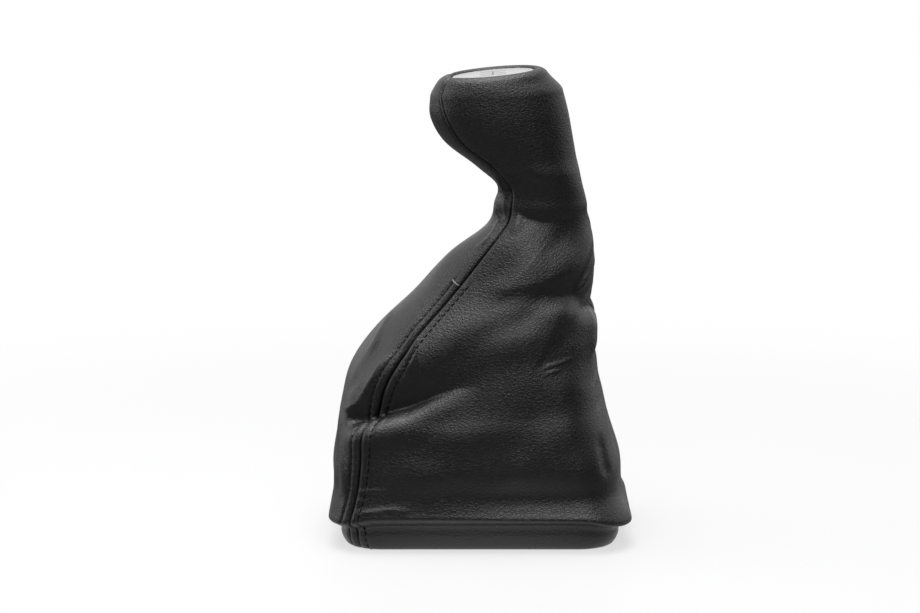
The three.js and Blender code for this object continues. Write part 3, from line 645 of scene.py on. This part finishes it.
# A socket of a node, with the operators that add Math nodes
class Value:
    def __init__(self, graph, socket):
        self.graph = graph
        self.socket = socket

    def math(self, operation, first, second):
        return self.graph.node("ShaderNodeMath", {"operation": operation}, {0: first, 1: second})

    def __add__(self, other):
        return self.math("ADD", self, other)

    def __sub__(self, other):
        return self.math("SUBTRACT", self, other)

    def __rsub__(self, other):
        return self.math("SUBTRACT", other, self)

    def __mul__(self, other):
        return self.math("MULTIPLY", self, other)

    __radd__ = __add__
    __rmul__ = __mul__

    def ramp(self, low, high, start=0.0, end=1.0):
        values = {0: self, 1: low, 2: high, 3: start, 4: end}
        return self.graph.node("ShaderNodeMapRange", {"interpolation_type": "SMOOTHSTEP"}, values)


# The nodes of a material or world. node() takes the type, its settings, its sockets' values, and the
# name or number of the output. A Mix node's colours have to go by number.
class Graph:
    def __init__(self, owner):
        self.owner = owner
        owner.use_nodes = True
        self.tree = owner.node_tree
        self.tree.nodes.clear()

    def node(self, kind, settings=None, inputs=None, output=0):
        made = self.tree.nodes.new(kind)
        for key, value in (settings or {}).items():
            setattr(made, key, value)
        for key, value in (inputs or {}).items():
            if isinstance(value, Value):
                self.tree.links.new(value.socket, made.inputs[key])
            else:
                made.inputs[key].default_value = value
        return Value(self, made.outputs[output])

    def mixColour(self, amount, first, second):
        inputs = {0: amount, 6: first, 7: second}
        return self.node("ShaderNodeMix", {"data_type": "RGBA"}, inputs, 2)

    def flatPlace(self):
        return self.node("ShaderNodeUVMap", {"uv_map": "flat"})

    def objectPlace(self):
        return self.node("ShaderNodeTexCoord", None, None, "Object")

    def noise(self, place, scale, detail=2.0, roughness=0.5):
        inputs = {"Vector": place, "Scale": scale, "Detail": detail, "Roughness": roughness}
        return self.node("ShaderNodeTexNoise", None, inputs)

    def cells(self, place, scale):
        inputs = {"Vector": place, "Scale": scale}
        return self.node("ShaderNodeTexVoronoi", {"feature": "DISTANCE_TO_EDGE"}, inputs)

    def bump(self, height, distance, strength=1.0):
        inputs = {"Strength": strength, "Distance": distance, "Height": height}
        return self.node("ShaderNodeBump", None, inputs)

    def finish(self, shader, kind="ShaderNodeOutputMaterial"):
        output = self.tree.nodes.new(kind)
        self.tree.links.new(shader.socket, output.inputs["Surface"])
        return self.owner


leatherFinish = {
    "colour": (0.0045, 0.0045, 0.0046, 1),
    "fadedAndSheen": (0.009, 0.0089, 0.0088, 1),
    "roughness": 0.33,
    "specular": 0.48,
    "grainSize": 0.0018,
    "fineGrainSize": 0.0009,
    "grainHeight": 0.0001,
    "grainWander": 0.0009,
    "grainTurn": (0, 0.4, 0),
    "grainStretch": (0.9, 1, 1.2),
    "wanderScale": 900.0,
    "poreScale": 3800.0,
    "patchScale": 70.0,
    "cloudScale": 16.0,
}


# Black leather with a pebbled grain whose cells wander, fine pores, faded patches, and a painted highlight
# that lightens the pebbles' tops
def makeLeather(look):
    graph = Graph(bpy.data.materials.new("blackLeather"))
    place = graph.objectPlace()
    wandering = {"Vector": place, "Scale": look["wanderScale"], "Detail": 1.0}
    wander = graph.node("ShaderNodeTexNoise", None, wandering, "Color")
    centred = graph.node("ShaderNodeVectorMath", {"operation": "SUBTRACT"}, {0: wander, 1: (0.5, 0.5, 0.5)})
    scaling = {0: centred, "Scale": look["grainWander"]}
    scaled = graph.node("ShaderNodeVectorMath", {"operation": "SCALE"}, scaling)
    bent = graph.node("ShaderNodeVectorMath", {"operation": "ADD"}, {0: place, 1: scaled})
    drawing = {"Vector": bent, "Rotation": look["grainTurn"], "Scale": look["grainStretch"]}
    drawn = graph.node("ShaderNodeMapping", None, drawing)
    pebble = graph.cells(drawn, 1 / look["grainSize"])
    finePebble = graph.cells(bent, 1 / look["fineGrainSize"])
    pore = graph.noise(place, look["poreScale"], 2.0, 0.6)
    patch = graph.noise(place, look["patchScale"], 3.0, 0.55)
    cloud = graph.noise(place, look["cloudScale"], 3.0, 0.5)
    tops = pebble.ramp(0.0, 0.28)
    fineTops = finePebble.ramp(0.0, 0.3)
    grain = tops * (0.55 + 0.45 * patch) + 0.35 * fineTops + 0.22 * pore
    # Faded patches from the clouds and patches, plus a painted highlight that lightens the tops of the
    # pebbles
    fadeAndTopSheen = cloud.ramp(0.42, 0.72) * 0.55 + patch.ramp(0.5, 0.8) * 0.25 + tops * 0.12
    shader = graph.node("ShaderNodeBsdfPrincipled", None, {
        "Base Color": graph.mixColour(fadeAndTopSheen, look["colour"], look["fadedAndSheen"]),
        "Roughness": look["roughness"] + 0.08 * (cloud - 0.5) + 0.1 * (1 - tops),
        "Normal": graph.bump(grain, look["grainHeight"]),
        "Specular IOR Level": look["specular"],
    })
    return graph.finish(shader)


# A colour made darker or lighter
def shaded(colour, amount):
    return tuple(amount * part for part in colour[:3]) + (1,)


suedeFinish = {"colour": (0.05, 0.047, 0.044, 1), "fibre": (0.10, 0.095, 0.088, 1), "roughness": 0.95}


# The rough back of the leather
def makeSuede(look):
    graph = Graph(bpy.data.materials.new("leatherBack"))
    place = graph.flatPlace()
    fibre = graph.noise(place, 2600.0, 3.0, 0.7)
    cloud = graph.noise(place, 40.0, 3.0, 0.6)
    shader = graph.node("ShaderNodeBsdfPrincipled", None, {
        "Base Color": graph.mixColour(fibre * 0.6 + cloud * 0.4, look["colour"], look["fibre"]),
        "Roughness": look["roughness"],
        "Normal": graph.bump(fibre, 0.0002, 0.6),
        "Specular IOR Level": 0.2,
    })
    return graph.finish(shader)


leather = makeLeather(leatherFinish)
suede = makeSuede(suedeFinish)


def meshFromGrid(name, grid):
    points = grid["points"]
    rows, columns = points.shape[:2]
    mesh = bpy.data.meshes.new(name)
    shape = bmesh.new()
    shape.loops.layers.uv.new("flat")
    bmesh.ops.create_grid(shape, x_segments=columns - 1, y_segments=rows - 1, size=1, calc_uvs=True)
    for face in shape.faces:
        face.smooth = True
    shape.to_mesh(mesh)
    shape.free()
    mesh.vertices.foreach_set("co", (points.reshape(-1, 3) / 1000).ravel())
    flat = np.dstack([grid["across"] / 1000, grid["run"] / 1000]).reshape(-1, 2)
    corners = np.empty(len(mesh.loops), int)
    mesh.loops.foreach_get("vertex_index", corners)
    mesh.uv_layers["flat"].data.foreach_set("uv", flat[corners].ravel())
    mesh.update()
    return mesh


def addPiece(name, mesh, materials):
    piece = bpy.data.objects.new(name, mesh)
    bpy.context.scene.collection.objects.link(piece)
    for material in materials:
        mesh.materials.append(material)
    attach(piece, "root")
    return piece


# The flat sizes are in metres, along and across the leather, and the areas in square metres
panels = [
    {"name": "frontLeather", "node": "front_panel", "side": 0, "flat": (0.116, 0.306), "area": 0.0212},
    {"name": "leftLeather", "node": "left_side_panel", "side": 1, "flat": (0.185, 0.302), "area": 0.03},
    {"name": "rightLeather", "node": "right_side_panel", "side": -1, "flat": (0.185, 0.302), "area": 0.03},
]
leatherThickness = 0.0014

for panel in panels:
    grid = shapePanel(panel["side"])
    panel["grid"] = grid
    mesh = meshFromGrid(panel["name"], grid)
    piece = addPiece(panel["name"], mesh, [leather, suede])
    wall = piece.modifiers.new("wall", "SOLIDIFY")
    wall.thickness = leatherThickness
    wall.offset = -1  # inwards
    wall.material_offset = 1
    wall.material_offset_rim = 0
    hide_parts(panel["node"])
    points = grid["points"]
    crossed = np.cross(points[1:, :-1] - points[:-1, :-1], points[:-1, 1:] - points[:-1, :-1])
    area = np.linalg.norm(crossed, axis=2).sum() / 1e6
    reach = [round(float(x) / 1000, 3) for x in (np.ptp(grid["across"]), np.max(grid["run"]))]
    print(panel["name"], "area", round(float(area), 4), "flat", reach)


threadFinish = {"colour": (0.003, 0.003, 0.0031, 1), "roughness": 0.75}
barFinish = {"colour": (0.30, 0.30, 0.29, 1), "roughness": 0.6}


# Twisted thread, with painted shade that darkens the grooves of its twist
def makeThread(name, look):
    graph = Graph(bpy.data.materials.new(name))
    place = graph.objectPlace()
    twist = graph.node("ShaderNodeTexWave", {"wave_type": "BANDS", "bands_direction": "DIAGONAL"},
                   {"Vector": place, "Scale": 900.0, "Distortion": 2.0})
    shader = graph.node("ShaderNodeBsdfPrincipled", None, {
        # The twist's grooves, low in the bump, are painted darker as shade
        "Base Color": graph.mixColour(twist, shaded(look["colour"], 0.55), look["colour"]),
        "Roughness": look["roughness"],
        "Normal": graph.bump(twist, 0.0001, 0.5),
        "Specular IOR Level": 0.15,
    })
    return graph.finish(shader)


# A point or normal of a panel's column where the leather has run a distance
def alongColumn(grid, key, column, at):
    run = grid["run"][:, column]
    return Vector([np.interp(at, run, grid[key][:, column, axis]) for axis in range(3)])


# The column at one of seamSteps from a panel's first edge, or from its last one
def columnAt(grid, step, fromLast):
    index = seamSteps.index(step)
    return grid["points"].shape[1] - 1 - index if fromLast else index


# The run along a column at which it passes a height for the last time
def runAtHeight(grid, column, z):
    below = np.nonzero(grid["points"][:, column, 2] < z)[0][-1]
    return grid["run"][below, column]


# A stitch: a small closed bead drawn out between two points, in millimetres
def addStitch(shape, start, end, outward, look):
    along = (end - start).normalized()
    beside = outward.cross(along).normalized()
    place = Matrix((along, beside, along.cross(beside))).transposed().to_4x4()
    place.translation = (start + end) / 2000
    size = Matrix.Diagonal(((end - start).length / 2000, look["width"] / 1000, look["height"] / 1000, 1))
    lie = Matrix.Rotation(math.pi / 2, 4, "Y")
    bmesh.ops.create_uvsphere(shape, u_segments=6, v_segments=5, radius=1, matrix=place @ size @ lie)


# A stitch along a column, with its middle where the leather has run a distance
def addStitchAt(shape, grid, column, middle, look):
    outward = alongColumn(grid, "normals", column, middle).normalized()
    start, end = (
        alongColumn(grid, "points", column, middle + way * look["length"] / 2) + look["lift"] * outward
        for way in (-1, 1)
    )
    addStitch(shape, start, end, outward, look)


stitch = {"first": 2, "length": 2.5, "width": 0.36, "height": 0.28, "lift": 0.16, "turnHeight": 1.2}


# One stitch after another along a column of a panel, from under the foot to the line's end, without
# those on the tight turns of the hem
def addStitches(shape, grid, column):
    count = int(grid["run"][-1, column] / seam["pitch"])
    for k in range(stitch["first"], count):
        middle = (k + 0.5) * seam["pitch"]
        centre = alongColumn(grid, "points", column, middle)
        outward = alongColumn(grid, "normals", column, middle).normalized()
        onTurn = centre.z < stitch["turnHeight"] and outward.z > -0.5
        if centre.z <= stitchEnd(grid["side"], seam["stitchOffset"]) and not onTurn:
            addStitchAt(shape, grid, column, middle, stitch)


def finishThread(name, shape, material):
    for face in shape.faces:
        face.smooth = True
    mesh = bpy.data.meshes.new(name)
    shape.to_mesh(mesh)
    shape.free()
    addPiece(name, mesh, [material])
    return mesh


thread = makeThread("blackThread", threadFinish)
stitches = bmesh.new()
stitchedEdges = {0: (False, True), 1: (False,), -1: (True,)}  # on each side, True is the last edge
for panel in panels:
    for fromLast in stitchedEdges[panel["side"]]:
        addStitches(stitches, panel["grid"], columnAt(panel["grid"], seam["stitchOffset"], fromLast))

# Closing stitches that show at the top of the front seams
closing = {
    "heights": (218.5, 222, 225.5),
    "fromSeam": 1.05,
    "length": 1.9,
    "width": 0.3,
    "height": 0.2,
    "lift": 0.12,
}
for panel in panels[1:]:
    grid = panel["grid"]
    column = columnAt(grid, closing["fromSeam"], panel["side"] == -1)
    for z in closing["heights"]:
        addStitchAt(stitches, grid, column, runAtHeight(grid, column, z), closing)
stitchMesh = finishThread("topStitching", stitches, thread)

# A pale bar of thread at the upper end of each line of the front panel, from the line to the seam
bar = {
    "steps": [6.3, 5.2, 4.1, 2.8, 1.5, 0.65],
    "lift": 0.4,
    "overlap": 0.35,
    "width": 0.62,
    "height": 0.42,
}
bars = bmesh.new()
front = panels[0]["grid"]
for fromLast in (True, False):
    points = []
    for step in bar["steps"]:
        column = columnAt(front, step, fromLast)
        at = runAtHeight(front, column, stitchEnd(0, step))
        outward = alongColumn(front, "normals", column, at).normalized()
        points.append(alongColumn(front, "points", column, at) + bar["lift"] * outward)
    for start, end in zip(points, points[1:]):
        extra = (end - start).normalized() * bar["overlap"]
        addStitch(bars, start - extra, end + extra, outward, bar)
finishThread("threadBars", bars, makeThread("paleThread", barFinish))
print("stitches sewn, faces:", len(stitchMesh.polygons))


plasticFinish = {"colour": (0.02, 0.02, 0.021, 1), "roughness": 0.6}
plateFinish = {"colour": (0.66, 0.66, 0.67, 1), "roughness": 0.32}
bushFinish = {"colour": (0.5, 0.5, 0.5, 1), "roughness": 0.42}


# Moulded plastic with a fine grit
def makePlastic(name, look):
    graph = Graph(bpy.data.materials.new(name))
    place = graph.objectPlace()
    grit = graph.noise(place, 1600.0, 3.0, 0.6)
    cloud = graph.noise(place, 60.0, 2.0, 0.5)
    shader = graph.node("ShaderNodeBsdfPrincipled", None, {
        "Base Color": graph.mixColour(cloud, look["colour"], shaded(look["colour"], 1.6)),
        "Roughness": look["roughness"] + 0.15 * (grit - 0.5),
        "Normal": graph.bump(grit, 0.0001, 0.5),
    })
    return graph.finish(shader)


# Metal brushed from the front to the back
def makeMetal(name, look):
    graph = Graph(bpy.data.materials.new(name))
    place = graph.objectPlace()
    lines = graph.node("ShaderNodeMapping", None, {"Vector": place, "Scale": (30, 2200, 2200)})
    brushed = graph.noise(lines, 1.0, 2.0, 0.5)
    shader = graph.node("ShaderNodeBsdfPrincipled", None, {
        "Base Color": graph.mixColour(brushed, shaded(look["colour"], 0.8), look["colour"]),
        "Metallic": 1.0,
        "Roughness": look["roughness"] + 0.12 * (brushed - 0.5),
        "Normal": graph.bump(brushed, 0.0001, 0.15),
    })
    return graph.finish(shader)


nodeFinishes = {
    "knob_core": makePlastic("corePlastic", plasticFinish),
    "base_frame": makePlastic("framePlastic", plasticFinish),
    "plaque_carrier": makePlastic("carrierPlastic", plasticFinish),
    "lever_bush": makeMetal("bushMetal", bushFinish),
    "plaque": makeMetal("brushedPlate", plateFinish),
}
for node, material in nodeFinishes.items():
    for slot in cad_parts[node].material_slots:
        slot.material = material

# A plain shift pattern of three gates in the plate, in millimetres in the crown's own frame
gate = {"length": 13, "apart": 5.2, "width": 0.5, "depth": 0.2, "proud": 0.03, "crossProud": 0.035}
gateShape = bmesh.new()
gateBars = [(side * gate["apart"], gate["length"], gate["width"], gate["proud"]) for side in (-1, 0, 1)]
gateBars.append((0, gate["width"], 2 * gate["apart"], gate["crossProud"]))
for left, length, width, proud in gateBars:
    middle = Matrix.Translation((0, left, proud - knob["plateRecess"] - gate["depth"] / 2))
    size = Matrix.Diagonal((length, width, gate["depth"], 1))
    bmesh.ops.create_cube(gateShape, size=1, matrix=Matrix.Scale(0.001, 4) @ crownTurn @ middle @ size)
gateMesh = bpy.data.meshes.new("shiftPattern")
gateShape.to_mesh(gateMesh)
gateShape.free()
addPiece("shiftPattern", gateMesh, [makePlastic("darkInlay", plasticFinish)])
print("plastic and metal parts finished")


# The camera looks at a point over the middle of the foot. right and up place it in the frame, in pixels
view = {
    "elevation": 9.0,
    "distance": 1.5,
    "height": 0.118,
    "lens": 117.39,
    "right": 20,
    "up": 9.5,
    "frameWidth": 920,
}
rise = math.radians(view["elevation"])
cameraData = bpy.data.cameras.new("camera")
cameraData.lens = view["lens"]
cameraData.sensor_width = 36
cameraData.shift_x = -view["right"] / view["frameWidth"]
cameraData.shift_y = -view["up"] / view["frameWidth"]
cameraData.clip_start = 0.01
camera = bpy.data.objects.new("camera", cameraData)
camera.location = (
    0,
    -view["distance"] * math.cos(rise),
    view["height"] + view["distance"] * math.sin(rise),
)
camera.rotation_euler = (math.pi / 2 - rise, 0, 0)
bpy.context.scene.collection.objects.link(camera)
bpy.context.scene.camera = camera

lamps = [
    {"name": "topLamp", "place": (-0.1, 0.0, 1.15), "size": 0.9, "power": 13.0},
    {"name": "frontLamp", "place": (0.05, -0.9, 1.15), "size": 1.1, "power": 9.2},
    {"name": "leftLamp", "place": (-1.1, 0.1, 0.5), "size": 0.7, "power": 3.2},
    {"name": "rightLamp", "place": (1.2, 0.3, 0.5), "size": 0.6, "power": 0.8},
]
lampAim = Vector((0, 0, 0.1))
for lamp in lamps:
    lampData = bpy.data.lights.new(lamp["name"], "AREA")
    lampData.shape = "SQUARE"
    lampData.size = lamp["size"]
    lampData.energy = lamp["power"]
    lampObject = bpy.data.objects.new(lamp["name"], lampData)
    lampObject.location = lamp["place"]
    aim = lampAim - Vector(lamp["place"])
    lampObject.rotation_euler = aim.to_track_quat("-Z", "Y").to_euler()
    bpy.context.scene.collection.objects.link(lampObject)

# The floor glows for the camera by seenGlow, and in reflections from glowFrom out to glowTo from the
# middle. It turns plain white for the camera from whiteFrom to whiteTo. Distances are in metres.
studio = {
    "floorColour": (0.24, 0.24, 0.24, 1),
    "floorHalf": 6,
    "floorDrop": 0.0002,
    "seenGlow": 0.66,
    "glowFrom": 0.05,
    "glowTo": 0.13,
    "whiteFrom": 0.2,
    "whiteTo": 0.7,
    "fill": 0.05,
    "frontReflection": 0.015,
    "backdropWay": (0, 0.8, 0.6),
    "backdropFrom": -0.05,
    "backdropTo": 0.75,
}
floorGraph = Graph(bpy.data.materials.new("paleFloor"))
cameraRay = floorGraph.node("ShaderNodeLightPath", None, None, "Is Camera Ray")
glossyRay = floorGraph.node("ShaderNodeLightPath", None, None, "Is Glossy Ray")
floorPlace = floorGraph.objectPlace()
fromMiddle = floorGraph.node("ShaderNodeVectorMath", {"operation": "LENGTH"}, {0: floorPlace}, "Value")
nearGlow = glossyRay * fromMiddle.ramp(studio["glowFrom"], studio["glowTo"], 1.0, 0.0)
glowing = cameraRay.math("MAXIMUM", cameraRay * studio["seenGlow"], nearGlow)
lit = floorGraph.node("ShaderNodeBsdfPrincipled", None, {
    "Base Color": studio["floorColour"],
    "Roughness": 0.6,
    "Specular IOR Level": 0.1,
    "Emission Color": floorGraph.mixColour(glowing, (0, 0, 0, 1), (1, 1, 1, 1)),
    "Emission Strength": 1.0,
})
white = floorGraph.node("ShaderNodeEmission", None, {"Color": (1, 1, 1, 1), "Strength": 1.0})
farAway = fromMiddle.ramp(studio["whiteFrom"], studio["whiteTo"]) * cameraRay
floorGraph.finish(floorGraph.node("ShaderNodeMixShader", None, {0: farAway, 1: lit, 2: white}))
floorShape = bmesh.new()
bmesh.ops.create_grid(floorShape, x_segments=2, y_segments=2, size=studio["floorHalf"])
bmesh.ops.translate(floorShape, verts=floorShape.verts, vec=(0, 0, -studio["floorDrop"]))
floorMesh = bpy.data.meshes.new("floor")
floorShape.to_mesh(floorMesh)
floorShape.free()
floorMesh.materials.append(floorGraph.owner)
floor = bpy.data.objects.new("floor", floorMesh)
bpy.context.scene.collection.objects.link(floor)

world = bpy.data.worlds.new("studio")
bpy.context.scene.world = world
worldGraph = Graph(world)
seen = worldGraph.node("ShaderNodeLightPath", None, None, "Is Camera Ray")
glossy = worldGraph.node("ShaderNodeLightPath", None, None, "Is Glossy Ray")
through = worldGraph.node("ShaderNodeLightPath", None, None, "Is Transmission Ray")
# The backdrop stands behind and over the object, and the room in front of it is darker
direction = worldGraph.node("ShaderNodeTexCoord")
backAndUp = worldGraph.node("ShaderNodeVectorMath", {"operation": "DOT_PRODUCT"},
                            {0: direction, 1: studio["backdropWay"]}, "Value")
backdrop = backAndUp.ramp(studio["backdropFrom"], studio["backdropTo"], studio["frontReflection"], 1.0)
showing = seen.math("MAXIMUM", seen, seen.math("MAXIMUM", glossy * backdrop, through))
strength = showing * (1 - studio["fill"]) + studio["fill"]
background = worldGraph.node("ShaderNodeBackground", None, {"Color": (1, 1, 1, 1), "Strength": strength})
worldGraph.finish(background, "ShaderNodeOutputWorld")
bpy.context.scene.view_settings.view_transform = "Standard"
print("camera, lamps, floor and world set")
